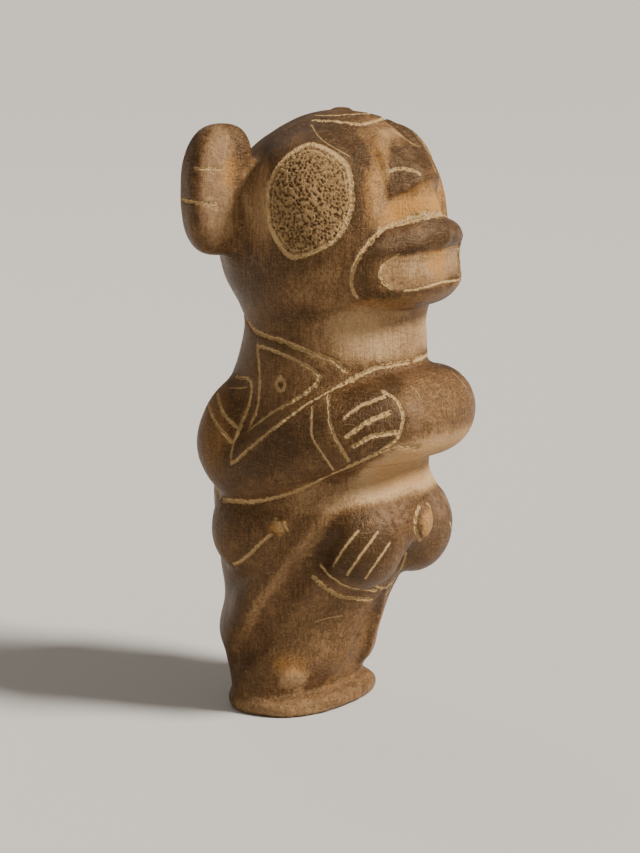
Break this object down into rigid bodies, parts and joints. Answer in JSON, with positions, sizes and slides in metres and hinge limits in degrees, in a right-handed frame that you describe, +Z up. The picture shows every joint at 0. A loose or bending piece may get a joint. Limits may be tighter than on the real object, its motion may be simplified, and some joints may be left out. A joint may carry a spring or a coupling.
{
  "type": "stone zemi figure",
  "caption": "Small carved stone zemi: a squatting figure with large ringed eyes, side ears, a broad mouth and folded arms, standing on its own flat sole.",
  "frame": {"origin": "on the underside's plane, below the centre of the figure's bounding box", "axes": "+Z up from the sole to the crown, +X towards the figure's left side, and the figure faces -Y"},
  "size_m": [0.0558, 0.0542, 0.119],
  "materials": {
    "stone": "polished brown patina over fine-grained limestone, paler where lines and pecking cut through it"
  },
  "bodies": {
    "root": {"zemi": "stone"}
  },
  "joints": []
}
